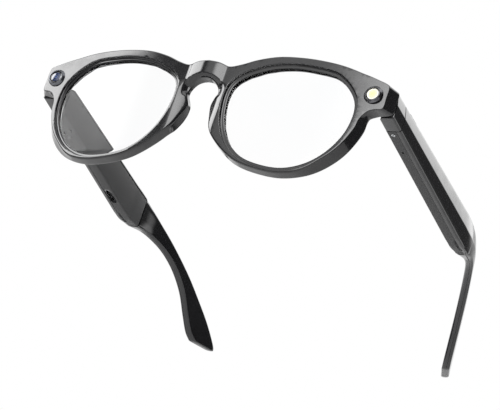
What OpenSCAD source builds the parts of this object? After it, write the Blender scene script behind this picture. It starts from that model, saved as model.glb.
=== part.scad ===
// Smart glasses: a moulded front with clear lenses, a camera and a light, and two
// hollow folding temples that carry the batteries, boards and speakers.
// The front stands upright at rest, the temples run towards +Y and +X is the side
// of the status light. Mirrored parts are drawn once, for the +X side.

/* [Front] */
// Radius of the wrap of the front around the face
face_r = 440; // [380:5:520]
// Thickness of the rims, front to back
rim_t = 4.1; // [3.6:0.1:5]
// Depth of the bevelled step in front of each lens
step_t = 1.2; // [0.8:0.1:1.4]
// Width of that step around the opening
step_w = 1.6; // [1.2:0.1:2]
// How far the bridge stands forward of the rims
bridge_rise = 1.4; // [0.8:0.1:2]
// Back face of the end pieces, where the temples butt
end_y = 10.8; // [10.4:0.1:11.2]

/* [Lenses] */
// Thickness of a lens
lens_t = 1.8; // [1.4:0.1:2]
// Depth of the groove that holds a lens
groove_w = 0.7; // [0.4:0.1:1]

/* [Camera and light] */
// Distance of both windows from the middle of the front
window_x = 67.1; // [66.4:0.1:67.4]
// Height of both windows above the lens centre line
window_z = 9.0; // [8.4:0.1:9.6]
// Outer radius of the bezel rings
bezel_r = 3.5; // [3.2:0.1:3.7]
// Radius of the glass in the bezels
glass_r = 2.4; // [2:0.1:2.6]

/* [Temples] */
// Thickness of the temple housing across its width
temple_t = 6.2; // [6.2:0.1:6.6]
// Wall thickness of the shells
wall = 1.1; // [0.9:0.1:1.2]
// Angle at which each temple spreads outwards
splay = 1.7; // [0:0.1:2]
// Thickness of the earpiece
ear_t = 3.5; // [3.2:0.1:4]

/* [Hinges] */
// Sideways place of the hinge axis
hinge_x = 69.6; // [69.4:0.1:69.8]
// Place of the hinge axis behind the front
hinge_y = 12.4; // [12.3:0.1:12.5]
// Radius of the hinge knuckles
knuckle_r = 1.4; // [1.3:0.05:1.4]
// Radius of the hinge screw
pin_r = 0.6; // [0.5:0.05:0.7]

/* [Button] */
// Travel of the capture button
button_travel = 0.4; // [0.3:0.05:0.5]

/* [Hidden] */
$fn = 64;

gap = 0.05;             // play between fitted parts of one body
tip_y = 152;            // back end of the earpieces before they spread
low_z = -33;            // lowest point of the ear tips
front_y = -bridge_rise; // foremost point of the bridge
lens_front = 1.5;       // depth of the lens front behind the face
bezel_face = 3.9;       // front of the bezel rings behind the face
bezel_step = 4.6;       // where a ring widens to its full radius
bezel_seat = 6.1;       // floor of the seat of a ring
bore_floor = 8.5;       // floor of the bore behind it
bore_r = 2.9;           // radius of that bore
glass_back = 5.6;       // back of the camera glass
top_slope = 6.5 / 84;   // fall of the temple's top line towards the back
under_slope = 8.9 / 73; // fall of its underside
end_z = 14.2;           // top of the temple where it meets the end piece
under_end_z = 3.2;      // underside there
joint_y = 11;           // front end of the temple
flex_end = 61.5;        // how far the ribbon runs from the middle
channel_end = 66;       // how far its channel runs
straight_end = 84;      // back end of the straight underside
hinge_low = 5;          // bottom of the lower knuckle of the frame
leaf_low = 6.8;         // top of it, where the temple's knuckle begins
leaf_high = 10.2;       // bottom of the upper knuckle of the frame
hinge_high = 12;        // top of it
knuckle_play = 0.15;    // play above and below the temple's knuckle
plate_x = hinge_x - 1.15; // inner side of the frame's hinge plate
plate_y = 8.65;         // front of that plate
plate_w = 2.3;          // width of that plate
rivet_r = 0.5;          // rivets through the plate
rivet_y = 9.7;          // their place behind the face
rivet_z = [6.2, 10.8];  // their heights
wire_r = 0.6;           // half the width of the core wire
screw_x = 70.6;         // line of the cover screw and the microphone
screw_y = 20.9;         // cover screw, just behind the hinge block
screw_r = 0.8;          // radius of the cover screw
mic_y = 31;             // microphone
port_x = 70.9;          // charging port across the underside
port_y = 73;            // charging port along the temple
port_len = 8.7;         // length of its shell
port_w = 2.8;           // width of its shell
port_wall = 0.2;        // thickness of the shell
port_depth = 3.6;       // depth of its mouth
tongue_len = 6.4;       // length of the contact tongue
button_x = 71.2;        // button across the top wall
button_y = 28;          // button along the temple
button_len = 8;         // length of the cap
button_w = 2.6;         // width of the cap
button_flange = 0.4;    // how far the cap's flange reaches under the wall
room_in = 69.7;         // inner side of the batteries and speakers
room_out = 73;          // their outer side
outlet_y = straight_end; // front end of the speaker outlet
outlet_len = 8;         // its length

// Smooth curve through hand-set points (Catmull-Rom)
function blend(a, b, c, d, t) =
    0.5 * (2 * b + (c - a) * t + (2 * a - 5 * b + 4 * c - d) * t * t + (3 * b - a - 3 * c + d) * t * t * t);
function closed_curve(p, n = 4) = let (m = len(p))
    [for (i = [0:m - 1]) for (k = [0:n - 1])
        blend(p[(i + m - 1) % m], p[i], p[(i + 1) % m], p[(i + 2) % m], k / n)];
function open_curve(p, n = 4) = let (m = len(p))
    concat([for (i = [0:m - 2]) for (k = [0:n - 1])
        blend(p[max(i - 1, 0)], p[i], p[i + 1], p[min(i + 2, m - 1)], k / n)], [p[m - 1]]);
// A closed curve moved outwards by d (points run anticlockwise)
function grown(c, d) = let (m = len(c))
    [for (i = [0:m - 1]) let (t = c[(i + 1) % m] - c[(i + m - 1) % m]) c[i] + d * [t.y, -t.x] / norm(t)];
function mirrored(c) = [for (i = [len(c) - 1:-1:0]) [-c[i].x, c[i].y]];

// Outline of the lens opening, from the temple side round over the top
LENS = closed_curve([[60.8, -4], [60.2, 6], [52.2, 14.3], [42, 16.4], [32.6, 16.6], [22.4, 14.4],
    [12.6, 8], [12.4, -4], [16.6, -14], [23.8, -20.8], [32.6, -23.6], [42, -23.8], [50.4, -20.3],
    [57, -13.4]]);
// Outline of the front: brow line, end piece, rim and nose side
BROW = open_curve([[0, 16.6], [4.2, 16.2], [8.6, 15.2], [13, 16.3], [19, 18.7], [27, 20.7], [36, 21.2],
    [44.5, 20.8], [53, 19.6], [61.5, 17.3], [70.6, 14.4]]);
END_PIECE = [[71.7, 13.9], [72.1, 13.2], [72.1, 4], [71.6, 3.5]];
RIM = open_curve([[69.4, 3.4], [67.2, 2.2], [66.3, -0.6], [65.9, -5], [61.2, -15.6], [52.8, -23.5],
    [42.4, -26.9], [32, -26.4], [21.7, -23.4], [11.9, -16.1], [7.8, -11], [5.9, -6], [4.5, -0.6]]);
ARCH = open_curve([[4.9, 0.9], [6.1, 3.6], [5.8, 5.8], [4.2, 8.3], [2, 9.5], [0, 9.8]]);
HALF = concat(BROW, END_PIECE, RIM, ARCH);

// Side view of one temple: top line, then the underside back to the front
TOP_LINE = open_curve([[95, 7.7], [101, 6.8], [107, 5], [114.4, 1.3], [122, -3.4], [130, -9.2],
    [138, -16.2], [144, -21.8], [149, -27.4], [151.6, -30.8]]);
EAR_UNDER = open_curve([[140.4, -32.6], [138.4, -30.8], [134.5, -25], [129.5, -17], [123, -10.4],
    [116, -6.2], [109.4, -4.3], [103, -4], [97, -5.2], [90, -6], [straight_end, -5.7]]);
TEMPLE_SIDE = concat([[joint_y, end_z]], TOP_LINE, [[tip_y, -32], [151.2, low_z], [149.4, low_z]], EAR_UNDER,
    [[joint_y, under_end_z]]);
housing_start = 18.7;   // seam between the hinge housing and the shell
housing_end = 96;       // back end of the hollow
temple_out = 74.5;      // outer face of a temple before it spreads
in_x = temple_out - temple_t; // inner face of the housing
seam_x = 72.7;          // seam between shell and inner cover, seen from below
bend_y = 85;            // where the earpiece starts to turn inwards
bend_r = 65;            // radius of that turn
bend_a = 24;            // angle of that turn

// Height of the temple's top and bottom lines along the straight housing
function top_z(y) = end_z - (y - joint_y) * top_slope;
function under_z(y) = under_end_z - (y - joint_y) * under_slope;

// Everything is drawn about the middle of the front and set down here
back_y = 10 + (temple_out - turned(tip_y, ear_t).x) * sin(splay) + (tip_y - 10) * cos(splay);
module place() {
    translate([0, -(front_y + back_y) / 2, -low_z]) children();
}
module left() {
    mirror([1, 0, 0]) children();
}
// Outline in the X-Z plane, given depth along +Y
module upright(y0, y1) {
    translate([0, y1, 0]) rotate([90, 0, 0]) linear_extrude(y1 - y0) children();
}
// Slab that follows the wrap of the front
module wrapped(y0, y1) {
    intersection() {
        translate([0, face_r, -50]) difference() {
            cylinder(h = 100, r = face_r - y0, $fn = 360);
            translate([0, 0, -1]) cylinder(h = 102, r = face_r - y1, $fn = 360);
        }
        translate([-80, y0 - 1, -50]) cube([160, 20, 100]);
    }
}
module both() {
    children();
    left() children();
}
module along_y(x, z, y0, y1, r) {
    translate([x, y1, z]) rotate([90, 0, 0]) cylinder(h = y1 - y0, r = r);
}

// ---- Front ----
module front_outline() {
    polygon(concat(HALF, mirrored(HALF)));
}
module end_block() {
    intersection() {
        upright(4, end_y) polygon(HALF);
        linear_extrude(40) polygon([[64.4, 5], [72.1, 5.9], [73.9, 9.2],
            [74.3, end_y], [67.8, end_y], [64.4, 9.4]]);
    }
}
module nose_pad() {
    translate([6.2, 3.4, 0]) rotate([0, 0, -24]) upright(0, 5.4)
        polygon(closed_curve([[0, -0.5], [1.4, 0.9], [4, -1.6], [5.2, -8], [5, -13], [3.4, -14],
            [1.4, -9]]));
}
module bridge_face() {
    translate([0, -bridge_rise, 0]) intersection() {
        upright(0, 4) polygon(concat([[0, 16.6]], [[4.2, 16.2], [7, 15.4], [6.6, 8.6]],
            [[3.6, 10.2], [0, 10.8], [-3.6, 10.2], [-6.6, 8.6]], [[-7, 15.4], [-4.2, 16.2]]));
        translate([-10, 0, 0]) cube([20, 4, 20]);
    }
}
module window_bore(s) {
    along_y(s * window_x, window_z, -2, bore_floor, bore_r);
    along_y(s * window_x, window_z, -2, bezel_seat, bezel_r + gap);
}
module bracket_pocket() {
    translate([plate_x - gap, plate_y - gap, hinge_low - 2 * gap])
        cube([plate_w + 2 * gap, 4, hinge_high - hinge_low + 4 * gap]);
}
module frame_front() {
    color("#232426") place() difference() {
        union() {
            intersection() {
                wrapped(0, rim_t);
                upright(-1, 16) front_outline();
            }
            both() end_block();
            both() nose_pad();
            bridge_face();
        }
        both() {
            upright(-2, 14) polygon(LENS);
            intersection() {
                wrapped(-1, step_t);
                upright(-2, 14) polygon(grown(LENS, step_w));
            }
            intersection() {
                wrapped(lens_front - gap, lens_front + lens_t + gap);
                upright(-2, 14) polygon(grown(LENS, groove_w + gap));
            }
            bracket_pocket();
            rivet_holes();
        }
        window_bore(1);
        window_bore(-1);
        flex_channel();
    }
}
module lens() {
    color("#e8eef0", 0.3) place() intersection() {
        wrapped(lens_front, lens_front + lens_t);
        upright(-2, 14) polygon(grown(LENS, groove_w));
    }
}
// Channel and ribbon that link the camera and the light along the brow: half length, play round it
module flex_path(end_x, extra) {
    xs = [for (i = [-16:16]) end_x * i / 16];
    intersection() {
        wrapped(2.2 - extra, 2.4 + extra);
        upright(-2, 14) polygon(concat(
            [for (x = xs) [x, brow_z(x) + 0.5 + extra]],
            [for (i = [len(xs) - 1:-1:0]) [xs[i], brow_z(xs[i]) - 0.5 - extra]]));
    }
}
// Height of the ribbon along the brow
function brow_z(x) = let (a = abs(x)) a < 10 ? 13.4 + 0.006 * a * a : 14 + 5.2 * sin((a - 10) * 3.2)
    - (a > 36 ? 0.0042 * (a - 36) * (a - 36) : 0);
module flex_channel() {
    flex_path(channel_end, 0.15);
}
module front_flex() {
    color("#b4702a") place() flex_path(flex_end, 0);
}

// ---- Camera and light windows in the end pieces ----
module bezel(s) {
    place() difference() {
        union() {
            along_y(s * window_x, window_z, bezel_step, bezel_seat - 0.1, bezel_r);
            along_y(s * window_x, window_z, bezel_face, bezel_step, glass_r + 0.6);
        }
        along_y(s * window_x, window_z, 2, 7, glass_r + gap);
    }
}
module camera_bezel() {
    color("#3a3c40") bezel(-1);
}
module camera_glass() {
    color("#1c2c4c") place() intersection() {
        along_y(-window_x, window_z, 3, glass_back, glass_r);
        translate([-window_x, bezel_face + 4, window_z]) sphere(r = 4);
    }
}
module camera_module() {
    color("#15161a") place() {
        along_y(-window_x, window_z, glass_back + 0.1, bore_floor - 0.1, glass_r - 0.1);
    }
}
module light_bezel() {
    color("#55575c") bezel(1);
}
module light_window() {
    color("#fff6c0") place() along_y(window_x, window_z, 4, glass_back - 0.2, glass_r);
}
module light_board() {
    color("#2c6a3c") place() along_y(window_x, window_z, 6.3, 7.1, bore_r - 0.3);
}

// ---- Hinges: frame side ----
module knuckle(z0, z1) {
    translate([hinge_x, hinge_y, z0]) cylinder(h = z1 - z0, r = knuckle_r);
}
module pin_hole() {
    translate([hinge_x, hinge_y, 0]) cylinder(h = 20, r = pin_r + gap);
}
module rivet_holes() {
    for (z = rivet_z) translate([66, rivet_y, z]) rotate([0, 90, 0]) cylinder(h = 6.6, r = rivet_r + gap);
}
module bracket() {
    color("#8c8e92") place() difference() {
        union() {
            knuckle(hinge_low, leaf_low);
            knuckle(leaf_high, hinge_high);
            translate([plate_x, plate_y, hinge_low]) cube([plate_w, 2, hinge_high - hinge_low]);
            for (z = [hinge_low, leaf_high]) translate([plate_x + gap, 10, z])
                cube([plate_w - 2 * gap, hinge_y - 10, leaf_low - hinge_low]);
        }
        pin_hole();
        rivet_holes();
    }
}
module screw() {
    color("#6c6e72") place() translate([hinge_x, hinge_y, 0]) difference() {
        union() {
            translate([0, 0, hinge_low - 0.2]) cylinder(h = hinge_high - hinge_low + 0.3, r = pin_r);
            translate([0, 0, hinge_high + gap]) cylinder(h = 0.6, r = 1.1);
        }
        translate([-1.2, -0.15, hinge_high + 0.35]) cube([2.4, 0.3, 1]);
    }
}
module rivets() {
    color("#9a9c9f") place() for (z = rivet_z)
        translate([66.2, rivet_y, z]) rotate([0, 90, 0]) cylinder(h = 6, r = rivet_r);
}

// ---- Hinges: temple side ----
module leaf() {
    color("#8c8e92") place() difference() {
        union() {
            knuckle(leaf_low + knuckle_play, leaf_high - knuckle_play);
            translate([hinge_x - 0.5, hinge_y, leaf_low + knuckle_play])
                cube([1.6, 6.4, leaf_high - leaf_low - 2 * knuckle_play]);
        }
        pin_hole();
    }
}
// Turns a temple outwards by its spread
module spread() {
    translate([temple_out, 10, 0]) rotate([0, 0, -splay]) translate([-temple_out, -10, 0]) children();
}
module temple_profile() {
    rotate([90, 0, 90]) translate([0, 0, 40]) linear_extrude(50) polygon(TEMPLE_SIDE);
}
// Plan view of a temple between two distances from its outer face
function turned(y, d) = let (a = min(max(asin(min((y - bend_y) / bend_r, 1)), 0), bend_a))
    y <= bend_y ? [temple_out - d, y]
    : let (arc_end = bend_r * sin(bend_a), past = max(y - bend_y - arc_end, 0),
        drop = bend_r * (1 - cos(a)) + past * tan(bend_a))
        [temple_out - drop - d, y];
// The housing thins to the earpiece between these two distances back
taper_start = 88;
taper_end = 110;
function thickness(y) = let (t = min(max((y - taper_start) / (taper_end - taper_start), 0), 1))
    temple_t - (temple_t - ear_t) * pow(sin(90 * t), 2);
module temple_plan(y0, y1, d0) {
    // stations along the taper, then down the straight end of the earpiece
    steps = [y0, bend_y, for (y = [taper_start:3:taper_end - 4]) y, taper_end, 130, y1];
    ys = [for (y = steps) if (y >= y0 && y <= y1) y];
    translate([0, 0, -60]) linear_extrude(120) polygon(concat(
        [for (y = ys) turned(y, d0)],
        [for (i = [len(ys) - 1:-1:0]) turned(ys[i], thickness(ys[i]))]));
}
module solid_temple(y0, y1, d0 = 0) {
    intersection() {
        temple_profile();
        temple_plan(y0, y1, d0);
    }
}
// Room inside the housing for the electronics
module hollow(y0, y1, x0, x1) {
    rotate([90, 0, 90]) translate([0, 0, x0]) linear_extrude(x1 - x0) polygon([
        [y0, top_z(y0) - wall], [y1, top_z(y1) - wall], [y1, under_z(straight_end) + wall + 0.9],
        [straight_end, under_z(straight_end) + wall], [y0, under_z(y0) + wall]]);
}
// Hinge housing with the relief that the knuckles turn in
module hinge_housing() {
    color("#26272a") place() spread() difference() {
        intersection() {
            temple_profile();
            translate([0, 0, -20]) linear_extrude(60) polygon([[in_x, 12.7], [69, 11.4], [69.9, 11],
                [temple_out, 11], [temple_out, housing_start - gap], [in_x, housing_start - gap]]);
        }
        translate([in_x - 1, 9, hinge_low - 0.45]) cube([4.1, 5.6, hinge_high - hinge_low + 1.35]);
        translate([hinge_x - 1.1, 14, leaf_low]) cube([2.8, 8, leaf_high - leaf_low]);
        translate([72, 14.5, 5.2]) cube([1.5, 8, 6]);
    }
}
module temple_shell() {
    place() spread() difference() {
        solid_temple(housing_start, tip_y);
        // the inner cover fills everything inboard of the seam and below the top wall
        cover_body(gap);
        hollow(housing_start - 1, housing_end - 1, in_x - 1, temple_out - wall);
        core_strip(housing_end - 0.3, wire_r + gap);
        if ($children > 0) children();
    }
}
module cover_body(extra) {
    intersection() {
        solid_temple(housing_start, housing_end + extra);
        rotate([90, 0, 90]) translate([0, 0, in_x - 8]) linear_extrude(seam_x + extra - in_x + 8)
            polygon([[housing_start - 1, top_z(housing_start) - wall + extra],
                [housing_end + extra, top_z(housing_end) - wall + extra],
                [housing_end + extra, -12], [housing_start - 1, -12]]);
    }
}
module inner_cover_body() {
    difference() {
        cover_body(0);
        hollow(housing_start + wall, housing_end - 1.5, in_x + wall, temple_out - wall);
        // speaker outlet along the seam at the back of the underside
        translate([seam_x - 0.9, outlet_y, -8]) cube([3, outlet_len, 5]);
        // screw by the hinge
        translate([screw_x, screw_y, -4]) cylinder(h = 10, r = screw_r + gap);
        // microphone hole
        translate([screw_x, mic_y, -4]) cylinder(h = 10, r = 0.5);
    }
}
// Flat core strip along the middle of the earpiece: distance back and height of each bend
STRIP = [[103, 0.8], [111, -1.6], [119, -5.2], [127, -11], [135, -18.6], [143, -26.6]];
strip_z = 0.8;
// The strip starts just behind the inner cover, and its bore opens into the cover's seat
module core_strip(start, r) {
    line = concat([[start, strip_z]], STRIP);
    m = len(line);
    intersection() {
        rotate([90, 0, 90]) linear_extrude(90) polygon(concat(
            [for (i = [0:m - 1]) line[i] + strip_side(line, i) * r],
            [for (i = [m - 1:-1:0]) line[i] - strip_side(line, i) * r]));
        translate([0, 0, -60]) linear_extrude(120) polygon(concat(
            [for (p = line) turned(p.x, ear_t / 2 - r)],
            [for (i = [m - 1:-1:0]) turned(line[i].x, ear_t / 2 + r)]));
    }
}
// Square to the strip, in the side view
function strip_side(line, i) =
    let (v = line[min(i + 1, len(line) - 1)] - line[max(i - 1, 0)]) [-v.y, v.x] / norm(v);
module core_wire() {
    color("#a8aaad") place() spread() core_strip(housing_end + 0.4, wire_r);
}
module cover_screw() {
    color("#77797c") place() spread() translate([screw_x, screw_y, under_z(screw_y)]) difference() {
        cylinder(h = 5, r = screw_r);
        translate([0, 0, -0.1]) cylinder(h = 0.5, r = 0.4, $fn = 6);
    }
}
// A box inside the housing, lifted off the sloping underside
module inside(x0, x1, y0, y1, lift, h) {
    translate([x0, y0, under_z(y0) + wall + lift]) rotate([-atan(under_slope), 0, 0])
        cube([x1 - x0, y1 - y0, h]);
}
module battery() {
    color("#3f4a52") place() spread() inside(room_in, room_out, 36, 64, 0.5, 8);
}
module board() {
    color("#1f5c34") place() spread() inside(room_out - 1, room_out, 20.6, 35.4, 0.5, 6);
}
module speaker() {
    color("#2b2b2d") place() spread() inside(room_in, room_out, 80.5, 92, 1.9, 6.5);
}
module speaker_grille() {
    color("#0c0c0d") place() spread() intersection() {
        solid_temple(housing_start, housing_end, 0.9);
        difference() {
            translate([seam_x - 0.85, outlet_y + gap, -8]) cube([0.85, outlet_len - 2 * gap, 4.2]);
            for (i = [1:outlet_len - 1]) translate([seam_x - 0.65, outlet_y + i, -9]) cube([0.45, 0.4, 8]);
        }
    }
}
module microphone() {
    color("#c0a040") place() spread() translate([screw_x, mic_y, under_z(mic_y) + wall + 0.3])
        cylinder(h = 1, r = 1.1);
}

// ---- Left temple only: charging port ----
module port_cut() {
    translate([port_x, port_y, -12]) linear_extrude(12) slot_2d(port_len + 2 * gap, port_w + 2 * gap);
}
module slot_2d(length, width) {
    for (s = [-1, 1]) translate([0, s * (length - width) / 2]) circle(d = width);
    square([width, length - width], center = true);
}
module charge_port() {
    color("#b9bbbe") left() place() spread() translate([port_x, port_y, under_z(port_y) + 0.5])
        difference() {
            linear_extrude(port_depth + 0.6) slot_2d(port_len, port_w);
            translate([0, 0, -1]) linear_extrude(port_depth + 1)
                slot_2d(port_len - 2 * port_wall, port_w - 2 * port_wall);
        }
}
module port_tongue() {
    color("#1a1a1c") left() place() spread()
        translate([port_x - 0.3, port_y - tongue_len / 2, under_z(port_y) + 1]) cube([0.6, tongue_len, 2.6]);
}

// ---- Right temple only: button and touch strip ----
// Square to the sloping top wall, at the button
module on_top() {
    translate([button_x, button_y, top_z(button_y)]) rotate([-atan(top_slope), 0, 0]) children();
}
module capture_button() {
    color("#1b1c1e") place() spread() on_top() {
        translate([0, 0, -1.3]) linear_extrude(1.9) slot_2d(button_len, button_w);
        translate([0, 0, -1.7]) linear_extrude(0.5)
            slot_2d(button_len + 2 * button_flange, button_w + 2 * button_flange);
    }
}
module button_cut() {
    on_top() translate([0, 0, -3]) linear_extrude(5)
        slot_2d(button_len + 0.14, button_w + 0.14);
}
module button_switch() {
    color("#8f9194") place() spread() on_top()
        translate([-1.2, -2, -1.7 - button_travel - gap - 1.6]) cube([2.4, 4, 1.6]);
}
module touch_strip() {
    color("#b4702a") place() spread() translate([temple_out - wall - 0.2, 36, 1.8])
        rotate([-atan(top_slope), 0, 0]) cube([0.15, 34, 7]);
}

module inner_cover_right() {
    color("#3c3d40") place() spread() inner_cover_body();
}
module inner_cover_left() {
    color("#3c3d40") left() place() spread() difference() {
        inner_cover_body();
        port_cut();
    }
}

frame_front();
left() lens();  // lens_left
lens();  // lens_right
front_flex();
camera_bezel();
camera_glass();
camera_module();
light_bezel();
light_window();
light_board();
left() bracket();  // hinge_bracket_left
bracket();  // hinge_bracket_right
left() screw();  // hinge_screw_left
screw();  // hinge_screw_right
left() rivets();  // bracket_rivets_left
rivets();  // bracket_rivets_right
left() leaf();  // hinge_leaf_left
leaf();  // hinge_leaf_right
left() hinge_housing();  // hinge_housing_left
hinge_housing();  // hinge_housing_right
color("#1e1f21") left() temple_shell();  // temple_shell_left
color("#1e1f21") temple_shell() button_cut();  // temple_shell_right
inner_cover_left();
inner_cover_right();
left() cover_screw();  // cover_screw_left
cover_screw();  // cover_screw_right
left() core_wire();  // core_wire_left
core_wire();  // core_wire_right
left() battery();  // battery_left
battery();  // battery_right
left() board();  // main_board
board();  // audio_board
left() speaker();  // speaker_left
speaker();  // speaker_right
left() speaker_grille();  // speaker_grille_left
speaker_grille();  // speaker_grille_right
left() microphone();  // microphone_left
microphone();  // microphone_right
charge_port();
port_tongue();
touch_strip();
capture_button();
button_switch();
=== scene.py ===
from math import cos, exp, pi, radians, sin, sqrt, tan
import bmesh
import bpy
import numpy as np
from mathutils import Matrix, Vector
from mathutils.geometry import delaunay_2d_cdt


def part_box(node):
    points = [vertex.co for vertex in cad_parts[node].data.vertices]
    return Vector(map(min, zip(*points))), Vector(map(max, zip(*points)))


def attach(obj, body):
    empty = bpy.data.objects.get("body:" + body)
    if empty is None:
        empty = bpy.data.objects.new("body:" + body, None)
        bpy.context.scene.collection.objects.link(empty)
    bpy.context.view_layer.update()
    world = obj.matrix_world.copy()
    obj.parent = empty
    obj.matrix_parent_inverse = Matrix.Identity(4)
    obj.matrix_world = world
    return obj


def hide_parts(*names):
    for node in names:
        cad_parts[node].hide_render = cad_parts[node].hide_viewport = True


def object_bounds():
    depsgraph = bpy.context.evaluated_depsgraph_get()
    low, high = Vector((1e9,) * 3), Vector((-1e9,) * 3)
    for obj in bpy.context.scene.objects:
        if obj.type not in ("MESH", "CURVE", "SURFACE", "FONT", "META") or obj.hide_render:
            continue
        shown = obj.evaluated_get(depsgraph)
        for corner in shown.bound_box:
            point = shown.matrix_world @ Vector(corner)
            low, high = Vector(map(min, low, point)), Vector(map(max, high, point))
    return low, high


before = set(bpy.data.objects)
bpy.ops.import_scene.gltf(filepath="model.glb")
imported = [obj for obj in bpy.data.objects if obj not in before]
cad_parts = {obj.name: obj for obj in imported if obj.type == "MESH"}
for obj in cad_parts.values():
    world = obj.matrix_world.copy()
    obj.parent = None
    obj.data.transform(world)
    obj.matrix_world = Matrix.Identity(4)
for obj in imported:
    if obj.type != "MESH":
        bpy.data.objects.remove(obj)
cad_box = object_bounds()

# ---- Moulded front ----
# One moulding carries both rims, the keyhole bridge with its nose pads and the two end
# pieces. It is black plastic, tumbled to a gloss, and wraps slightly round the face.
MM = 0.001
bridge_crown = 0.022    # how strongly its face is rounded from side to side
bridge_rise = 1.4       # how far the bridge stands forward of the rims, in millimetres
tip_drop = 33.0         # ear tips below the lens centre line
face_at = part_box("frame_front")[0][1] / MM + bridge_rise
middle_at = cad_box[0][2] / MM + tip_drop
wrap_r = 440.0          # radius of the wrap
rim_t = 4.1             # front to back through a rim
step_t, step_w = 1.2, 1.6           # depth and width of the step round a lens opening
end_y = 10.8            # back of the end pieces
lens_front, lens_t = 1.5, 1.8       # depth of a lens behind the face, and its thickness
groove = 0.7            # how far a lens reaches into its rim
window_x, window_z = 67.1, 9.0      # axis of the camera, and of the light on the other side
bore_r = 3.55


def spot(x, y, z):
    """A place on the object, measured in millimetres from the middle of the front's face."""
    return Vector((x * MM, (y + face_at) * MM, (z + middle_at) * MM))


def ease(t):
    t = min(max(t, 0.0), 1.0)
    return t * t * (3 - 2 * t)


def curve_through(points, closed=False, fine=12):
    """A smooth line through given points, which doesn't loop where they are unevenly spaced."""
    pts = [Vector(p) for p in points]
    n = len(pts)
    line = []
    for i in range(n if closed else n - 1):
        if closed:
            a, b, c, d = (pts[(i + k) % n] for k in (-1, 0, 1, 2))
        else:
            b, c = pts[i], pts[i + 1]
            a = pts[i - 1] if i else 2 * b - c
            d = pts[i + 2] if i + 2 < n else 2 * c - b
        ab, bc, cd = (sqrt((q - p).length) for p, q in ((a, b), (b, c), (c, d)))
        leave = (c - b) + bc * ((b - a) / ab - (c - a) / (ab + bc))
        arrive = (c - b) + bc * ((d - c) / cd - (d - b) / (bc + cd))
        for k in range(fine):
            t = k / fine
            line.append(b + leave * t + (3 * (c - b) - 2 * leave - arrive) * t * t
                        + (leave + arrive - 2 * (c - b)) * t ** 3)
    return line if closed else line + [pts[-1]]


def even(line, spacing, closed=False):
    """The same line with its points evenly spaced."""
    pts = np.array([tuple(p) for p in (line + line[:1] if closed else line)])
    along = np.concatenate([[0], np.cumsum(np.linalg.norm(np.diff(pts, axis=0), axis=1))])
    count = max(int(round(along[-1] / spacing)), 2)
    at = np.linspace(0, along[-1], count + 1)
    rows = [Vector([np.interp(a, along, pts[:, k]) for k in range(pts.shape[1])]) for a in at]
    return rows[:-1] if closed else rows


def outward(loop):
    """The outward direction at each point of a closed loop."""
    n = len(loop)
    area = sum(loop[i - 1].x * loop[i].y - loop[i].x * loop[i - 1].y for i in range(n))
    turn = 1 if area > 0 else -1
    ways = []
    for i in range(n):
        along = (loop[(i + 1) % n] - loop[i - 1]).normalized()
        ways.append(Vector((along.y, -along.x)) * turn)
    return ways


def mirrored_loop(half):
    """A half outline that starts and ends on the middle, with its other half."""
    return half + [Vector((-p.x, p.y)) for p in reversed(half[1:-1])]


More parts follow.
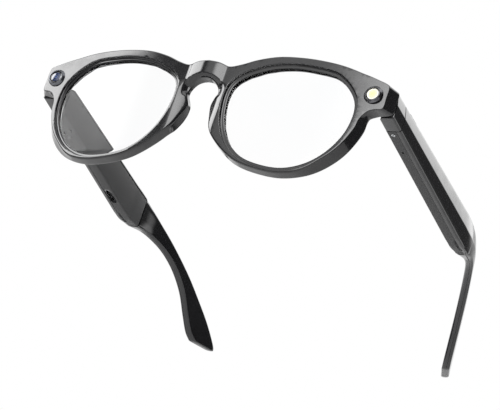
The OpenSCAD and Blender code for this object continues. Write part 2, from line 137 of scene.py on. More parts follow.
class Shape:
    """Points and faces of one piece, built up ring by ring."""

    def __init__(self):
        self.points = []
        self.faces = []

    def ring(self, points):
        start = len(self.points)
        self.points += [Vector(p) for p in points]
        return list(range(start, len(self.points)))

    def skirt(self, a, b, closed=True):
        for i in range(len(a) if closed else len(a) - 1):
            j = (i + 1) % len(a)
            self.faces.append((a[i], a[j], b[j], b[i]))

    def skirts(self, rings):
        for a, b in zip(rings, rings[1:]):
            self.skirt(a, b)

    def fill(self, loops, height, spacing, fine=()):
        """Fills the area between loops, over a height for each place."""
        flat = [[(self.points[i].x / MM, self.points[i].z / MM - middle_at) for i in loop] for loop in loops]
        corners = np.array([p for loop in flat for p in loop])

        def inside(p):
            odd = np.zeros(len(p), bool)
            for loop in flat:
                a = np.array(loop)
                b = np.roll(a, -1, axis=0)
                for (x0, y0), (x1, y1) in zip(a, b):
                    if y0 != y1:
                        crosses = (y0 > p[:, 1]) != (y1 > p[:, 1])
                        odd ^= crosses & (p[:, 0] < (x1 - x0) * (p[:, 1] - y0) / (y1 - y0) + x0)
            return odd

        low, high = corners.min(axis=0), corners.max(axis=0)
        spare = []
        for size, (x0, x1, y0, y1) in [(spacing, (low[0], high[0], low[1], high[1])), *fine]:
            xs = np.arange(ceil_to(x0, size), x1, size)
            ys = np.arange(ceil_to(y0, size), y1, size)
            grid = np.array([(x, y) for x in xs for y in ys])
            if size == spacing:
                for _, (fx0, fx1, fy0, fy1) in fine:
                    clear = (grid[:, 0] < fx0) | (grid[:, 0] > fx1) | (grid[:, 1] < fy0) | (grid[:, 1] > fy1)
                    grid = grid[clear]
            for place in grid[inside(grid)]:
                if np.min(np.hypot(*(corners - place).T)) > 0.55 * size:
                    spare.append(tuple(place))
        flat_points = [Vector(p) for p in [*corners, *spare]]
        edges = []
        start = 0
        for loop in loops:
            edges += [(start + i, start + (i + 1) % len(loop)) for i in range(len(loop))]
            start += len(loop)
        known = [i for loop in loops for i in loop]
        out, _, triangles, origin, _, _ = delaunay_2d_cdt(flat_points, edges, [], 0, 1e-7)
        names = []
        for place, source in zip(out, origin):
            if source and source[0] < len(known):
                names.append(known[source[0]])
            else:
                names.append(len(self.points))
                self.points.append(spot(place.x, height(place.x, place.y), place.y))
        centres = np.array([[sum(out[i].x for i in t) / 3, sum(out[i].y for i in t) / 3] for t in triangles])
        for keep, t in zip(inside(centres), triangles):
            if keep:
                self.faces.append(tuple(names[i] for i in t))

    def cap(self, loop):
        self.faces.append(tuple(loop))

    def tube(self, rings):
        """Joins each ring to the next, and closes both ends."""
        self.skirts(rings)
        self.cap(rings[0])
        self.cap(rings[-1])

    def piece(self, name, sharp=40, mirror=False):
        mesh = bpy.data.meshes.new(name)
        flip = -1 if mirror else 1
        mesh.from_pydata([(p.x * flip, p.y, p.z) for p in self.points], [], self.faces)
        soft = bmesh.new()
        soft.from_mesh(mesh)
        bmesh.ops.recalc_face_normals(soft, faces=soft.faces)
        soft.to_mesh(mesh)
        soft.free()
        mesh.shade_smooth()
        mesh.set_sharp_from_angle(angle=radians(sharp))
        made = bpy.data.objects.new(name, mesh)
        bpy.context.scene.collection.objects.link(made)
        return made


def ceil_to(value, size):
    return (np.floor(value / size) + 1) * size


LENS = [(60.8, -4), (60.2, 6), (52.2, 14.3), (42, 16.4), (32.6, 16.6), (22.4, 14.4), (12.6, 8), (12.4, -4),
        (16.6, -14), (23.8, -20.8), (32.6, -23.6), (42, -23.8), (50.4, -20.3), (57, -13.4)]
HALF = [(0, 16.6), (4.2, 16.2), (8.6, 15.2), (13, 16.3), (19, 18.7), (27, 20.7), (36, 21.2), (44.5, 20.8),
        (53, 19.6), (61.5, 17.3), (67, 15.6), (70.3, 14.5), (71.6, 13.8), (72.1, 12.6), (72.1, 8.6),
        (72.1, 4.8), (71.7, 3.9), (70.8, 3.45), (69, 3.15), (67.2, 2.0), (66.3, -0.6), (65.9, -5),
        (61.2, -15.6), (52.8, -23.5), (42.4, -26.9), (32, -26.4), (21.7, -23.4), (11.9, -16.1), (7.8, -11),
        (5.9, -6), (4.5, -0.9), (4.9, 0.9), (6.1, 3.6), (5.8, 5.8), (4.2, 8.3), (2, 9.5), (0, 9.8)]
lens_loop = even(curve_through(LENS, closed=True), 0.7, closed=True)
outline = mirrored_loop(even(curve_through(HALF), 0.45))
outline_ways = outward(outline)


def wrap(x):
    return wrap_r - sqrt(wrap_r ** 2 - x * x)


def crease(x):
    """Lower edge of the bridge's front face, above the chamfer that runs down to the arch."""
    return 10.75 - 0.046 * x * x


def front_depth(x, z):
    """Depth of the front's face: flush on the rims, forward on the bridge, back at the nose."""
    u = abs(x)
    below = crease(u) - z
    chamfer = 1.25 * (below + sqrt(below * below + 0.03)) / 2
    bridge = min(-bridge_rise + bridge_crown * u * u + chamfer, 2.2)
    nose = 2.3 * max(0.0, min(1.0, (10 - u) / 5.4)) ** 1.5 * ease((8.5 - z) / 4)
    on_bridge = ease((8.5 - u) / 1.9) * ease((z - 2) / 3)
    return wrap(x) + nose + (bridge - nose) * on_bridge


def pad_share(z):
    """How fully a nose pad stands out at a height."""
    return exp(-((z + 5.5) / 6) ** 4)


def back_depth(x, z):
    """Depth of the front's back: an even rim, the thick end pieces and the nose pads."""
    u = abs(x)
    rim = wrap(x) + rim_t
    block = ease((u - 63.5) / 3.5) * ease((z - 0.5) / 3)
    pad = 3.9 * pad_share(z) * ease((11 - u) / 3.6)
    return rim + (end_y - rim) * block + pad


def front_edge(p, way):
    """The face is smaller than the back round the rims, because their sides slope."""
    slope = 0.3 * ease((4 - p.y) / 3) + 1.5 * ease((3 - p.y) / 6) * ease((abs(p.x) - 46) / 12)
    return p - way * slope


def back_edge(p, way):
    """The back spreads out to the temples at both ends, and in to the nose at the pads."""
    flare = 2.15 * ease((abs(p.x) - 70.6) / 1.5)
    pad = 1.7 * pad_share(p.y) * ease((9.5 - abs(p.x)) / 2)
    return p + Vector((flare if p.x > 0 else -flare, 0)) - way * pad


shape = Shape()
quarter = [k * pi / 10 for k in range(6)]
fronts = [front_edge(p, w) for p, w in zip(outline, outline_ways)]
backs = [back_edge(p, w) for p, w in zip(outline, outline_ways)]
rings = []
for turn in quarter:
    row = []
    for p, way in zip(fronts, outline_ways):
        r = 0.62 - 0.3 * ease((abs(p.x) - 60) / 5)
        q = p - way * r * (1 - sin(turn))
        row.append(spot(q.x, front_depth(q.x, q.y) + r * (1 - cos(turn)), q.y))
    rings.append(shape.ring(row))
back_r = 0.5            # radius along the back edge
back_rows = []
for turn in reversed(quarter):
    row = []
    for p, way in zip(backs, outline_ways):
        q = p - way * back_r * (1 - sin(turn))
        row.append(spot(q.x, back_depth(q.x, q.y) - back_r * (1 - cos(turn)), q.y))
    back_rows.append(row)
first = [shape.points[i] for i in rings[-1]]
side_steps = 7
for k in range(1, side_steps):
    rings.append(shape.ring([a.lerp(b, k / side_steps) for a, b in zip(first, back_rows[0])]))
rings += [shape.ring(row) for row in back_rows]
shape.skirts(rings)
outer_front, outer_back = rings[0], rings[-1]

# profile of the lens opening: how far outside it, and how deep
seat, seat_end = lens_front - 0.04, lens_front + lens_t + 0.04
OPENING = [(step_w + 0.15, 0), (step_w + 0.04, 0.04), (step_w, 0.15), (step_w - 0.08, 0.55),
           (step_w - 0.15, 0.95), (step_w - 0.24, 1.12), (step_w - 0.42, step_t), (0.7, step_t + 0.02),
           (0.22, step_t + 0.04), (0.07, step_t + 0.09), (0, step_t + 0.22), (0, seat),
           (groove + 0.05, seat), (groove + 0.05, seat_end), (0, seat_end), (0, rim_t - 0.3),
           (0.09, rim_t - 0.09), (0.3, rim_t)]
openings_front = []
openings_back = []
for side in (1, -1):
    loop = [Vector((p.x * side, p.y)) for p in lens_loop]
    ways = outward(loop)
    rings = []
    for out, deep in OPENING:
        places = [p + w * out for p, w in zip(loop, ways)]
        surface = front_depth if deep < 0.3 else (lambda x, z: wrap(x))
        rings.append(shape.ring([spot(q.x, surface(q.x, q.y) + deep, q.y) for q in places]))
    shape.skirts(rings)
    openings_front.append(rings[0])
    openings_back.append(rings[-1])

# blind bores for the camera and the light, as radius and depth; None is the face itself
module_r, bore_step, bore_floor = 2.9, 6.1, 8.5
BORE = [(bore_r, None), (bore_r, bore_step), (module_r, bore_step), (module_r, bore_floor),
        (1.2, bore_floor)]
for side in (1, -1):
    rings = []
    for r, deep in BORE:
        row = []
        for k in range(64):
            x = side * window_x + r * cos(k * pi / 32)
            z = window_z + r * sin(k * pi / 32)
            row.append(spot(x, front_depth(x, z) if deep is None else deep, z))
        rings.append(shape.ring(row))
    shape.skirts(rings)
    shape.cap(rings[-1])
    openings_front.append(rings[0])
bridge_area = (-10.5, 10.5, -14, 17)
spacing = 1.9
shape.fill([outer_front, *openings_front], front_depth, spacing, fine=[(0.5, bridge_area)])
shape.fill([outer_back, *openings_back], back_depth, spacing, fine=[(0.8, bridge_area)])
front = shape.piece("front_moulding", sharp=38)
keep = front.modifiers.new("even_shine", "WEIGHTED_NORMAL")
keep.keep_sharp = True
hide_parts("frame_front")
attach(front, "front")


class Value:
    """A number or colour inside a finish, so that its sums read as plain Python."""

    def __init__(self, finish, socket):
        self.finish = finish
        self.socket = socket

    def sum(self, operation, *parts):
        return self.finish.make("Math", {"operation": operation}, parts)

    def __add__(self, other):
        return self.sum("ADD", self, other)

    def __radd__(self, other):
        return self.sum("ADD", other, self)

    def __rsub__(self, other):
        return self.sum("SUBTRACT", other, self)

    def __mul__(self, other):
        return self.sum("MULTIPLY", self, other)


class Nodes:
    """A tree of nodes, and the one way that nodes are added to it."""

    def __init__(self, tree):
        self.tree = tree

    def make(self, kind, settings=None, sockets=(), out=0):
        node = self.tree.nodes.new("ShaderNode" + kind)
        for key, value in (settings or {}).items():
            if key == "stops":
                stops = node.color_ramp.elements
                while len(stops) < len(value):
                    stops.new(0.5)
                for stop, (place, tone) in zip(stops, value):
                    stop.position = place
                    stop.color = (*tone, 1) if len(tone) == 3 else tone
            else:
                setattr(node, key, value)
        for key, value in (sockets.items() if isinstance(sockets, dict) else enumerate(sockets)):
            if isinstance(value, Value):
                self.tree.links.new(value.socket, node.inputs[key])
            else:
                node.inputs[key].default_value = value
        return Value(self, node.outputs[out])

    def between(self, value, low, high, to_low=0.0, to_high=1.0, kind="LINEAR"):
        return self.make("MapRange", {"interpolation_type": kind}, (value, low, high, to_low, to_high))


class Finish(Nodes):
    """One procedural finish: its shader, and the nodes that colour and roughen it."""

    def __init__(self, name, **constants):
        self.material = bpy.data.materials.new(name)
        self.material.use_nodes = True
        super().__init__(self.material.node_tree)
        self.shader = next(n for n in self.tree.nodes if n.type == "BSDF_PRINCIPLED")
        for socket, value in constants.items():
            self.shader.inputs[socket.replace("_", " ")].default_value = value

    def place(self):
        return self.make("TexCoord", out="Object")

    def stretched(self, x, y, z):
        return self.make("VectorMath", {"operation": "MULTIPLY"}, (self.place(), (x, y, z)))

    def noise(self, scale, detail=3.0, rough=0.5, at=None):
        return self.make("TexNoise", {}, {"Vector": at or self.place(), "Scale": scale, "Detail": detail,
                                           "Roughness": rough})

    def blend(self, amount, a, b):
        return self.make("Mix", {"data_type": "RGBA"}, {"Factor": amount, 6: a, 7: b}, out=2)

    def set(self, socket, value):
        self.tree.links.new(value.socket, self.shader.inputs[socket])

    def bump(self, height, strength, distance):
        made = self.make("Bump", {}, {"Strength": strength, "Distance": distance, "Height": height})
        self.set("Normal", made)

    def on(self, *things):
        for thing in things:
            thing.data.materials.clear()
            thing.data.materials.append(self.material)


def gloss_plastic(name, dark, light, rough):
    """Tumbled black plastic: near-black, with faint flow, hairline polishing marks and a few smudges."""
    f = Finish(name, IOR=1.5, Coat_Roughness=0.03, Coat_IOR=1.5)
    flow = f.between(f.noise(60, 2), 0.35, 0.7)
    f.set("Base Color", f.blend(flow, (*dark, 1), (*light, 1)))
    marks = f.between(f.noise(900, 2, 0.6, f.stretched(1, 0.12, 1)), 0.55, 0.8)
    smudge = f.between(f.noise(110, 4, 0.6), 0.52, 0.72)
    f.set("Roughness", rough + marks * 0.05 + smudge * 0.06)
    f.set("Coat Weight", 0.45 - smudge * 0.2)
    f.bump(f.noise(420, 2), 0.05, 0.0002)
    return f


gloss = gloss_plastic("front_gloss", (0.006, 0.006, 0.007), (0.011, 0.011, 0.012), 0.09)
gloss.on(front)

# ---- Lenses ----
# Each lens is a clear slab of hard-coated plastic, cut to the opening plus a bevel and
# sprung into the groove of its rim. Its low index stands for the anti-reflection coat.
lens_finish = Finish("lens_clear", IOR=1.2, Transmission_Weight=1.0)
clouds = lens_finish.between(lens_finish.noise(35, 2), 0.3, 0.7)
lens_finish.set("Base Color", lens_finish.blend(clouds, (0.97, 0.975, 0.98, 1), (0.985, 0.985, 0.985, 1)))
wiped = lens_finish.between(lens_finish.noise(90, 4, 0.6), 0.45, 0.75, 0.01, 0.04)
lens_finish.set("Roughness", wiped)
# the lens's edge: how far outside the opening, and how far behind the lens's own front
LENS_EDGE = [(groove - 0.35, 0), (groove - 0.1, 0.15), (groove, 0.7), (groove, 1.1), (groove - 0.1, 1.65),
             (groove - 0.35, lens_t)]
for side, name in ((1, "right"), (-1, "left")):
    shape = Shape()
    loop = [Vector((p.x * side, p.y)) for p in lens_loop]
    ways = outward(loop)
    rings = []
    for out, deep in LENS_EDGE:
        places = [p + w * out for p, w in zip(loop, ways)]
        rings.append(shape.ring([spot(q.x, wrap(q.x) + lens_front + deep, q.y) for q in places]))
    shape.skirts(rings)
    shape.fill([rings[0]], lambda x, z: wrap(x) + lens_front, 2.4)
    shape.fill([rings[-1]], lambda x, z: wrap(x) + lens_front + lens_t, 2.4)
    lens = shape.piece("clear_lens_" + name, sharp=50)
    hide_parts("lens_" + name)
    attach(lens, "front")
    lens_finish.on(lens)

# ---- Temples ----
# Each temple is a hollow gloss shell whose outer wall, top wall and earpiece are one
# moulding, closed by a matt inner cover. A short block round the hinge leads it.
temple_out = 74.48      # outer face of the temples at the hinge
temple_t, ear_t = 6.2, 3.5          # thickness of the housing and of the earpiece
crease_up = 0.5         # height of the crease along the outer face, as a share of the section
lean = 1.3              # how far the band above it leans in by the top
top_r = 1.5             # radius along the upper outer edge
wall = 1.1
splay = radians(1.7)
joint_y = 11.0          # front of the hinge block
housing_start, housing_end = 18.7, 96.0
thin_from, thin_over = 88, 22       # where a temple starts to get thinner, and over what length
seam = 1.8              # seam between shell and cover, in from the outer face
top_height, under_height = 14.2, 3.2        # at the hinge block
top_slope, under_slope = 6.5 / 84, 8.9 / 73
bend_y, bend_r, bend_a = 85.0, 65.0, radians(24)        # where the earpiece turns in, and how
TOP = [(95, 7.7), (101, 6.8), (107, 5), (114.4, 1.3), (122, -3.4), (130, -9.2), (138, -16.2), (144, -21.8),
       (149, -27.4), (151.3, -30.6), (151.6, -31.8)]
UNDER = [(95, -5.45), (97, -5.2), (103, -4), (109.4, -4.3), (116, -6.2), (123, -10.4), (129.5, -17),
         (134.5, -25), (138.4, -30.8), (140.6, -32.5)]


def top_z(y):
    return top_height - (y - joint_y) * top_slope


def under_z(y):
    """The underside is straight as far as its end, then dips and rises into the earpiece."""
    end = 84.0
    low = under_height - (min(y, end) - joint_y) * under_slope
    return low - 0.3 * ease((y - end) / 5) + 0.55 * ease((y - end - 5) / 6)


def thickness(y):
    t = min(max((y - thin_from) / thin_over, 0.0), 1.0)
    return temple_t - (temple_t - ear_t) * sin(t * pi / 2) ** 2


def temple_spot(y, z, inward):
    """A place on the +X temple: how far back, how high, how far in from its outer face."""
    turn = min(max((y - bend_y) / bend_r, 0.0), sin(bend_a))
    past = max(y - bend_y - bend_r * sin(bend_a), 0.0)
    x = temple_out - bend_r * (1 - sqrt(1 - turn * turn)) - past * tan(bend_a) - inward
    dx, dy = x - temple_out, y - 10
    return spot(temple_out + dx * cos(splay) + dy * sin(splay), 10 - dx * sin(splay) + dy * cos(splay), z)


def rounded(corners):
    """A run of corners, each (across, up, radius, steps), with an arc in place of each corner."""
    line = []
    for i, (x, y, r, steps) in enumerate(corners):
        here = Vector((x, y))
        if steps == 1:
            line.append(here)
            continue
        before = (Vector(corners[i - 1][:2]) - here).normalized()
        after = (Vector(corners[(i + 1) % len(corners)][:2]) - here).normalized()
        half = before.angle(after, pi) / 2
        reach = r / tan(half)
        centre = here + (before + after).normalized() * (r / sin(half))
        a, b = here + before * reach - centre, here + after * reach - centre
        for k in range(steps):
            t = k / (steps - 1)
            span = a.angle(b)
            line.append(centre + (a * sin((1 - t) * span) + b * sin(t * span)) / sin(span))
    return line


def outer_face(i, h, amount=1.0, low_r=0.9, high_r=None):
    """The outer face from the bottom up: a flat panel, a crease and a band that bows inwards."""
    low = crease_up * h
    line = [(i, i, low_r, 7), (i, low - 0.3, 0, 1)]
    for share in (0, 0.06, 0.25, 0.5, 0.7):
        line.append((i + lean * amount * (0.8 * share + 0.2 * share ** 2), low + (h - low) * share, 0, 1))
    return line + [(i + lean * amount, h - i, high_r or max(top_r - i, 0.2), 8)]


def section(under, top, outline_points):
    """Points of one cross-section, from its own (inward, up) outline."""
    height = sqrt((top[0] - under[0]) ** 2 + (top[1] - under[1]) ** 2)
    row = []
    for p in outline_points:
        t = p.y / height
        row.append(temple_spot(under[0] + (top[0] - under[0]) * t, under[1] + (top[1] - under[1]) * t, p.x))
    return row


def hollow_outline(t, h, inset=0.0):
    """The shell's section along the housing: outer wall, top wall and the lip below."""
    i = inset
    return rounded([(seam, i, 0, 1)] + outer_face(i, h) + [
        (t - i, h - i, 0.7, 6), (t - i, h - wall, 0, 1), (wall + lean, h - wall, 0.6, 6),
        (wall, wall, 0.3, 3), (seam, wall, 0.15, 3)])


def full_outline(t, h, fat, inset=0.0, amount=0.0):
    """The shell's section along the earpiece, solid all through."""
    i = inset
    r = min(fat, t / 2 - 0.15 - i)
    inner_r = min(r, (t - lean * amount) / 2 - 0.15 - i)
    outer_r = min(r, inner_r + 0.2)
    inner_face = [(t - i, h * (0.72 - 0.06 * k), 0, 1) for k in range(7)]
    return rounded([(t * 0.35, i, 0, 1)] + outer_face(i, h, amount, r * 0.9, outer_r)
                   + [(t - i, h - i, inner_r - 0.1, 6)] + inner_face + [(t - i, i, r * 0.9, 6)])


top_line = even(curve_through(TOP), 1.1)
under_line = even(curve_through(UNDER), 1.0)
steps = 64              # rings along the earpiece
BODY_RINGS = [20, 24, 30, 40, 50, 60, 70, 76, 80, 82, 84] + [84.8 + 0.8 * k for k in range(14)]


def along(line, t):
    """The place at a share of a line's length."""
    place = t * (len(line) - 1)
    k = min(int(place), len(line) - 2)
    return line[k].lerp(line[k + 1], place - k)


def shell_shape():
    """The shell and earpiece: hollow rings, then solid ones, and a cut end that is rounded over."""
    s = Shape()
    rings = []
    joint_gap = 0.02
    for y in [housing_start + joint_gap, housing_start + 0.24] + BODY_RINGS:
        h = top_z(y) - under_z(y)
        inset = 0.2 if y < housing_start + 0.05 else 0.0
        rings.append(s.ring(section((y, under_z(y)), (y, top_z(y)), hollow_outline(thickness(y), h, inset))))
    for k in range(steps + 1):
        t = k / steps
        under, top = along(under_line, t), along(top_line, t)
        if t < 0.03:
            under.x = max(under.x, housing_end + joint_gap + t)
            top.x = max(top.x, housing_end + joint_gap + t)
        h = (top - under).length
        y_mid = (top.x + under.x) / 2
        fat = top_r + 0.15 * ease((y_mid - housing_end) / 14)
        amount = 1 - ease((y_mid - housing_end) / 30)
        rings.append(s.ring(section(under, top, full_outline(thickness(y_mid), h, fat, 0.0, amount))))
    under, top = under_line[-1], top_line[-1]
    down = Vector((-(top.y - under.y), top.x - under.x)).normalized()
    if down.y > 0:
        down = -down
    for inset, drop in ((0.12, 0.22), (0.4, 0.38), (0.85, 0.45)):
        a = under + down * drop + (top - under).normalized() * inset
        b = top + down * drop - (top - under).normalized() * inset
        rings.append(s.ring(section(a, b, full_outline(ear_t, (b - a).length, 1.5, inset))))
    s.tube(rings)
    return s


def cover_shape():
    """The inner cover: an angle of inner wall and underside that stands inside the shell's lips."""
    s = Shape()
    rings = []
    gap = 0.06
    for y in [housing_start + 0.05, housing_start + 0.15] + BODY_RINGS:
        h = top_z(y) - under_z(y)
        t = thickness(y)
        i = 0.1 if y < housing_start + 0.1 else 0.0
        outline_points = rounded([
            (seam + gap, i, 0.22, 4), (seam + gap, wall, 0.1, 3), (t - wall, wall, 0.3, 4),
            (t - wall, h - wall - gap, 0.1, 3), (t - i, h - wall - gap, 0.2, 4), (t - i, i, 0.8, 7)])
        rings.append(s.ring(section((y, under_z(y)), (y, top_z(y)), outline_points)))
    s.tube(rings)
    return s


def housing_shape():
    """The block round the hinge, in the same section as the temple, with softened ends."""
    s = Shape()
    rings = []
    for y, i in ((joint_y, 0.12), (joint_y + 0.12, 0.0), (13, 0), (16, 0), (housing_start - 0.3, 0),
                 (housing_start - 0.08, 0.2)):
        h = top_z(y) - under_z(y)
        inner = temple_t - i
        outline_points = rounded(outer_face(i, h) + [(inner, h - i, 0.7, 6), (inner, i, 0.8, 6)])
        rings.append(s.ring(section((y, under_z(y)), (y, top_z(y)), outline_points)))
    s.tube(rings)
    return s


def prism(corners, low, high, mirror=False):
    """A cutter: an outline in plan, raised between two heights."""
    s = Shape()
    a = s.ring([temple_spot(y, low, temple_out - x) for x, y in corners])
    b = s.ring([temple_spot(y, high, temple_out - x) for x, y in corners])
    s.tube([a, b])
    return s.piece("cutter", mirror=mirror)


def slot_outline(x, y, length, width, n=12):
    r = width / 2
    reach = length / 2 - r
    turns = [pi * k / n for k in range(n + 1)]
    return [(x + r * cos(a), y + reach + r * sin(a)) for a in turns] + \
           [(x - r * cos(a), y - reach - r * sin(a)) for a in turns]


def box_outline(x0, y0, x1, y1):
    return [(x0, y0), (x1, y0), (x1, y1), (x0, y1)]


def round_outline(x, y, r, n):
    return [(x + r * cos(2 * pi * k / n), y + r * sin(2 * pi * k / n)) for k in range(n)]


def carve(thing, cutters, sharp=38):
    """Cuts each cutter out of a piece, for good."""
    for cutter in cutters:
        tool = thing.modifiers.new("carve", "BOOLEAN")
        tool.object = cutter
        tool.operation = "DIFFERENCE"
        tool.solver = "EXACT"
        bpy.context.view_layer.update()
        solid = bpy.data.meshes.new_from_object(thing.evaluated_get(bpy.context.evaluated_depsgraph_get()))
        thing.modifiers.clear()
        thing.data = solid
        bpy.data.objects.remove(cutter)
    thing.data.shade_smooth()
    thing.data.set_sharp_from_angle(angle=radians(sharp))


temple_gloss = gloss_plastic("temple_gloss", (0.005, 0.005, 0.006), (0.009, 0.009, 0.01), 0.08)
matte = Finish("cover_matte", IOR=1.48)
grain = matte.noise(2600, 3, 0.6)
patch = matte.between(matte.noise(45, 3), 0.3, 0.7)
matte.set("Base Color", matte.blend(patch, (0.020, 0.020, 0.021, 1), (0.028, 0.028, 0.029, 1)))
matte.set("Roughness", 0.36 + grain * 0.16 + patch * 0.05)
matte.bump(grain, 0.25, 0.0001)

in_x = temple_out - temple_t        # inner face of the temples at the hinge
fastener_x = 70.6       # line of the cover screw and the microphone hole
port_x, port_y = 70.9, 73.0
button_x, button_y = 71.2, 28.0
sound_outlet = box_outline(71.8, 84, 73.6, 92)
screw_recess = round_outline(fastener_x, 20.9, 0.95, 24)
microphone_hole = round_outline(fastener_x, 31, 0.5, 16)
knuckle_pocket = box_outline(66, 9, in_x + 3.1, 14.6)
swing_relief = [(66, 13.4), (66, 9), (69.9, 10.6), (69.9, 11.02), (69, 11.4), (in_x - 0.05, 12.7)]
leaf_slot = box_outline(68.5, 14, 71.3, 20)
for side, name in ((1, "right"), (-1, "left")):
    flip = side < 0
    body = "temple_" + name
    shell = shell_shape().piece("shell_and_earpiece_" + name, sharp=40, mirror=flip)
    if side > 0:
        carve(shell, [prism(slot_outline(button_x, button_y, 8.2, 2.8), 10.5, 20)])
    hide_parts("temple_shell_" + name)
    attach(shell, body)
    temple_gloss.on(shell)

    cover = cover_shape().piece("matt_cover_" + name, sharp=40, mirror=flip)
    cuts = [prism(sound_outlet, -9, -3, mirror=flip),
            prism(screw_recess, -1, 3.4, mirror=flip),
            prism(microphone_hole, -3, 3, mirror=flip)]
    if side < 0:
        cuts.append(prism(slot_outline(port_x, port_y, 8.8, 2.9), -9, -1.5, mirror=flip))
    carve(cover, cuts)
    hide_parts("inner_cover_" + name)
    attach(cover, body)
    matte.on(cover)

    housing = housing_shape().piece("hinge_block_" + name, sharp=40, mirror=flip)
    carve(housing, [prism(knuckle_pocket, 4.55, 12.9, mirror=flip),
                    prism(swing_relief, 0, 16, mirror=flip),
                    prism(leaf_slot, 6.8, 10.2, mirror=flip)])
    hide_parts("hinge_housing_" + name)
    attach(housing, body)
    temple_gloss.on(housing)

# ---- Camera and light windows ----
# A turned and anodised ring sits proud of each end piece. The camera side holds a domed,
# blue-coated glass and the light side a pale yellow diffuser with a faint painted glow.


def turned_piece(name, side, profile, n=72):
    """A piece turned about a window's axis from (radius, depth) steps: a plug if they start
    and end on the axis, and otherwise a ring."""
    s = Shape()
    turns = [2 * pi * k / n for k in range(n)]
    rings = [s.ring([spot(side * window_x + r * cos(a), deep, window_z + r * sin(a)) for a in turns])
             for r, deep in profile if r > 0]
    if profile[0][0] > 0:
        s.skirts(rings + rings[:1])
    else:
        s.tube(rings)
    return s.piece(name, sharp=28)


def from_axis(finish, side):
    """How far a place on a finish lies from a window's axis, in millimetres."""
    axis = spot(side * window_x, 0, window_z)
    off = finish.make("VectorMath", {"operation": "SUBTRACT"}, (finish.place(), (axis.x, 0, axis.z)))
    flat = finish.make("VectorMath", {"operation": "MULTIPLY"}, (off, (1 / MM, 0, 1 / MM)))
    return finish.make("VectorMath", {"operation": "LENGTH"}, (flat,), out="Value")


RING = [(2.45, 5.9), (3.5, 5.9), (3.5, 4.75), (3.42, 4.62), (3.1, 4.3), (3.0, 4.0), (2.93, 3.92),
        (2.62, 3.9), (2.55, 3.96), (2.47, 4.1), (2.45, 4.6)]
RETAINER = [(2.1, 4.42), (2.42, 4.38), (2.42, 4.24), (2.36, 4.18), (2.12, 4.26)]
glass_r = 2.38
glass_edge = 4.44       # depth of the camera glass at its edge
dome_turns = [radians(8 * k) for k in range(1, 11)]
DOME = [(0, 5.6), (glass_r, 5.6), (glass_r, glass_edge),
        *[(glass_r * cos(a), glass_edge - 0.42 * sin(a)) for a in dome_turns], (0, 4.02)]
DISC = [(0, 5.4), (glass_r, 5.4), (glass_r, 4.4), (2.3, 4.28), (1.9, 4.2), (1.2, 4.16), (0.5, 4.14),
        (0, 4.14)]
tone_r = 2.4            # where the tones of both windows end


def anodised(name, dark, light):
    f = Finish(name, Metallic=1.0)
    lathe = f.noise(1500, 2, 0.5, f.stretched(0.4, 3, 0.4))
    f.set("Base Color", f.blend(f.between(lathe, 0.35, 0.65), (*dark, 1), (*light, 1)))
    f.set("Roughness", 0.16 + lathe * 0.12)
    f.bump(lathe, 0.06, 0.0001)
    return f


camera_ring_finish = anodised("camera_ring_metal", (0.10, 0.105, 0.115), (0.18, 0.185, 0.2))
light_ring_finish = anodised("light_ring_metal", (0.06, 0.06, 0.065), (0.16, 0.16, 0.17))
for side, name, finish in ((-1, "camera", camera_ring_finish), (1, "light", light_ring_finish)):
    ring = turned_piece(name + "_ring", side, RING)
    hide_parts(name + "_bezel")
    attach(ring, "front")
    finish.on(ring)
    retainer = turned_piece(name + "_inner_ring", side, RETAINER)
    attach(retainer, "front")
    gloss.on(retainer)

dome = turned_piece("camera_cover_glass", -1, DOME)
coated = Finish("camera_blue_glass", IOR=1.52, Coat_Weight=1.0, Coat_Roughness=0.02, Roughness=0.05)
coated.set("Base Color", coated.make("ValToRGB", {"stops": [
    (0.0, (0.02, 0.03, 0.07)), (0.26, (0.05, 0.09, 0.24)), (0.34, (0.01, 0.012, 0.03)),
    (0.6, (0.03, 0.05, 0.13)), (0.8, (0.008, 0.01, 0.02))]}, (from_axis(coated, -1) * (1 / tone_r),)))
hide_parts("camera_glass")
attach(dome, "front")
coated.on(dome)

disc = turned_piece("light_diffuser", 1, DISC)
# the diffuser is no lamp, yet its pale yellow also glows faintly: a painted glow that brightens it where
# little light reaches the front
diffuser_painted_glow = Finish("light_pale_yellow_painted_glow", IOR=1.46, Roughness=0.35, Emission_Strength=0.38)
tone = diffuser_painted_glow.make("ValToRGB", {"stops": [
    (0.0, (0.74, 0.68, 0.28)), (0.62, (0.80, 0.75, 0.40)), (0.80, (0.84, 0.82, 0.66)),
    (0.95, (0.70, 0.70, 0.68))]}, (from_axis(diffuser_painted_glow, 1) * (1 / tone_r),))
diffuser_painted_glow.set("Base Color", tone)
diffuser_painted_glow.set("Emission Color", tone)
diffuser_painted_glow.bump(diffuser_painted_glow.make("TexVoronoi", {}, {"Vector": diffuser_painted_glow.place(), "Scale": 1900.0}), 0.25, 0.0001)
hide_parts("light_window")
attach(disc, "front")
diffuser_painted_glow.on(disc)

# ---- Capture button ----
# A small gloss cap stands a little out of the right temple's top wall and is pressed with
# a fingertip.
button = Shape()
rings = []
# how far each ring lies outside the cap's own outline, and how far above the temple's top
CAP_RINGS = [(0.4, -1.7), (0.4, -1.25), (0, -1.25), (0, 0.3), (-0.06, 0.47), (-0.22, 0.57), (-0.5, 0.6)]
for out, up in CAP_RINGS:
    row = []
    for x, y in slot_outline(button_x, button_y, 8 + 2 * out, 2.6 + 2 * out):
        row.append(temple_spot(y, top_z(button_y) - (y - button_y) * top_slope + up, temple_out - x))
    rings.append(button.ring(row))
button.tube(rings)
cap = button.piece("capture_button_cap", sharp=40)
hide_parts("capture_button")
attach(cap, "button")
temple_gloss.on(cap)

# ---- Hinges, fasteners and everything inside ----
# These pieces keep their engineered shapes: steel hinges and screws, gilt microphones,
# foil cells, green boards, amber ribbons and black mouldings.


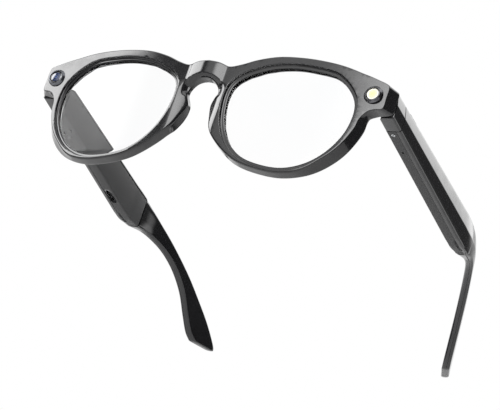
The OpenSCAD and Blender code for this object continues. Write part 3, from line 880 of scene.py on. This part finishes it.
def steel(name, dark, light, rough):
    f = Finish(name, Metallic=1.0)
    hair = f.noise(1400, 2, 0.6, f.stretched(1, 0.08, 1))
    f.set("Base Color", f.blend(f.between(hair, 0.35, 0.65), (*dark, 1), (*light, 1)))
    f.set("Roughness", rough + hair * 0.15)
    f.bump(hair, 0.08, 0.0001)
    return f


def moulded(name, dark, light, rough, scale=1800):
    f = Finish(name, IOR=1.48)
    grain_here = f.noise(scale, 3, 0.6)
    f.set("Base Color", f.blend(f.between(grain_here, 0.35, 0.65), (*dark, 1), (*light, 1)))
    f.set("Roughness", rough + grain_here * 0.15)
    f.bump(grain_here, 0.15, 0.0001)
    return f


def board():
    f = Finish("board_green", IOR=1.5)
    lines = f.make("TexBrick", {}, {"Vector": f.place(), "Scale": 420.0, "Mortar Size": 0.03}, out="Fac")
    tracks = f.between(lines, 0.4, 0.6)
    f.set("Base Color", f.blend(tracks, (0.012, 0.10, 0.035, 1), (0.05, 0.20, 0.08, 1)))
    f.set("Roughness", 0.3 + f.noise(800) * 0.15)
    return f


steel_finish = steel("hinge_satin_steel", (0.42, 0.43, 0.44), (0.62, 0.63, 0.64), 0.22)
bright = steel("port_bright_steel", (0.6, 0.6, 0.61), (0.78, 0.78, 0.79), 0.15)
black_steel = steel("grille_black_steel", (0.02, 0.02, 0.021), (0.05, 0.05, 0.052), 0.3)
gilt = steel("microphone_gilt", (0.5, 0.36, 0.13), (0.8, 0.62, 0.3), 0.2)
foil = steel("battery_foil", (0.35, 0.37, 0.4), (0.55, 0.57, 0.6), 0.3)
amber = moulded("ribbon_amber", (0.30, 0.10, 0.02), (0.48, 0.18, 0.04), 0.25)
black = moulded("inner_black", (0.008, 0.008, 0.009), (0.018, 0.018, 0.019), 0.4)
green = board()
INSIDE = {
    steel_finish: ["hinge_bracket", "hinge_leaf", "hinge_screw", "bracket_rivets", "cover_screw",
                   "core_wire"],
    bright: ["charge_port", "button_switch"],
    black_steel: ["speaker_grille"],
    gilt: ["microphone"],
    foil: ["battery"],
    amber: ["front_flex", "touch_strip"],
    black: ["camera_module", "port_tongue", "speaker_left", "speaker_right"],
    green: ["light_board", "main_board", "audio_board"]}
for finish, starts in INSIDE.items():
    for node_name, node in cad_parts.items():
        if node_name.startswith(tuple(starts)):
            finish.on(node)

# ---- Floor, light and camera ----
# A pale floor lies well below the glasses. One soft panel hangs above them, and soft lamps
# set round the room shine in the gloss; behind the glasses the room is plain white.
floor_z = -0.9
floor_half = 4
floor_mesh = bpy.data.meshes.new("floor")
corners = [(x * floor_half, y * floor_half, floor_z) for x, y in ((-1, -1), (1, -1), (1, 1), (-1, 1))]
floor_mesh.from_pydata(corners, [], [(0, 1, 2, 3)])
floor = bpy.data.objects.new("floor", floor_mesh)
bpy.context.scene.collection.objects.link(floor)
pale = Finish("floor_pale", Roughness=0.8)
worn = pale.between(pale.noise(3, 2), 0.3, 0.7)
pale.set("Base Color", pale.blend(worn, (0.80, 0.80, 0.80, 1), (0.84, 0.84, 0.84, 1)))
pale.on(floor)

view_side, view_up, view_roll = radians(31.785), radians(-23.971), radians(18.647)
view_x, view_y, view_far = 19.372, -38.419, 921.417     # along the view's own right, up and back
back = Vector((sin(view_side) * cos(view_up), -cos(view_side) * cos(view_up), sin(view_up)))
level = Vector((cos(view_side), sin(view_side), 0))
rise = back.cross(level)
right = level * cos(view_roll) + rise * sin(view_roll)
up = rise * cos(view_roll) - level * sin(view_roll)
camera_data = bpy.data.cameras.new("camera")
camera_data.sensor_width = 36
camera_data.lens = 181.8
camera = bpy.data.objects.new("camera", camera_data)
camera.matrix_world = Matrix.Translation(spot(*(right * view_x + up * view_y + back * view_far))) @ \
    Matrix((right, up, back)).transposed().to_4x4()
bpy.context.scene.collection.objects.link(camera)
bpy.context.scene.camera = camera

panel_data = bpy.data.lights.new("top_panel", "AREA")
panel_data.shape = "RECTANGLE"
panel_data.size = 4
panel_data.size_y = 4
panel_data.energy = 75
panel = bpy.data.objects.new("top_panel", panel_data)
panel_at = Vector((0, 0, 2.5))
panel.location = panel_at
panel.rotation_euler = (panel_at - Vector((0, 0.02, 0.03))).to_track_quat("Z", "Y").to_euler()
bpy.context.scene.collection.objects.link(panel)

world = bpy.data.worlds.new("studio")
world.use_nodes = True
bpy.context.scene.world = world
studio = Nodes(world.node_tree)
# soft lamps round the room: direction, cosines where each is full and gone, and strength
LAMPS = [((-0.526, 0.850, 0.0), 0.95, 0.55, 0.95),
         ((-0.791, -0.457, 0.407), 0.978, 0.955, 7.0),
         ((-0.159, -0.900, 0.407), 0.966, 0.9, 1.1),
         ((0.064, -0.911, 0.407), 0.98, 0.93, 4.5),
         ((-0.48, -0.41, -0.78), 0.99, 0.95, 4.0),
         ((0.15, 0.757, 0.636), 0.99, 0.955, 2.1),
         ((0.72, 0.69, 0.08), 0.98, 0.93, 1.2),
         ((0.0, 0.0, 1.0), 0.95, 0.6, 0.4),
         ((0.0, -1.0, 0.0), 0.9, 0.3, 0.15)]
way = studio.make("TexCoord", out="Generated")
room = 0.1
for direction, full, gone, strength in LAMPS:
    facing = studio.make("VectorMath", {"operation": "DOT_PRODUCT"}, (way, direction), out="Value")
    room = room + studio.between(facing, gone, full, 0.0, strength, "SMOOTHSTEP")
# the room looks white to the eye and through a lens, and only reflections show the lamps
seen = studio.make("LightPath", out="Is Camera Ray") + studio.make("LightPath", out="Is Transmission Ray")
clear = studio.between(seen, 0.0, 1.0)
sky = next(n for n in world.node_tree.nodes if n.type == "BACKGROUND")
sky.inputs["Color"].default_value = (1, 1, 1, 1)
brightness = room * (1 - clear) + clear
world.node_tree.links.new(brightness.socket, sky.inputs["Strength"])
bpy.context.scene.view_settings.view_transform = "Standard"

bpy.context.view_layer.update()
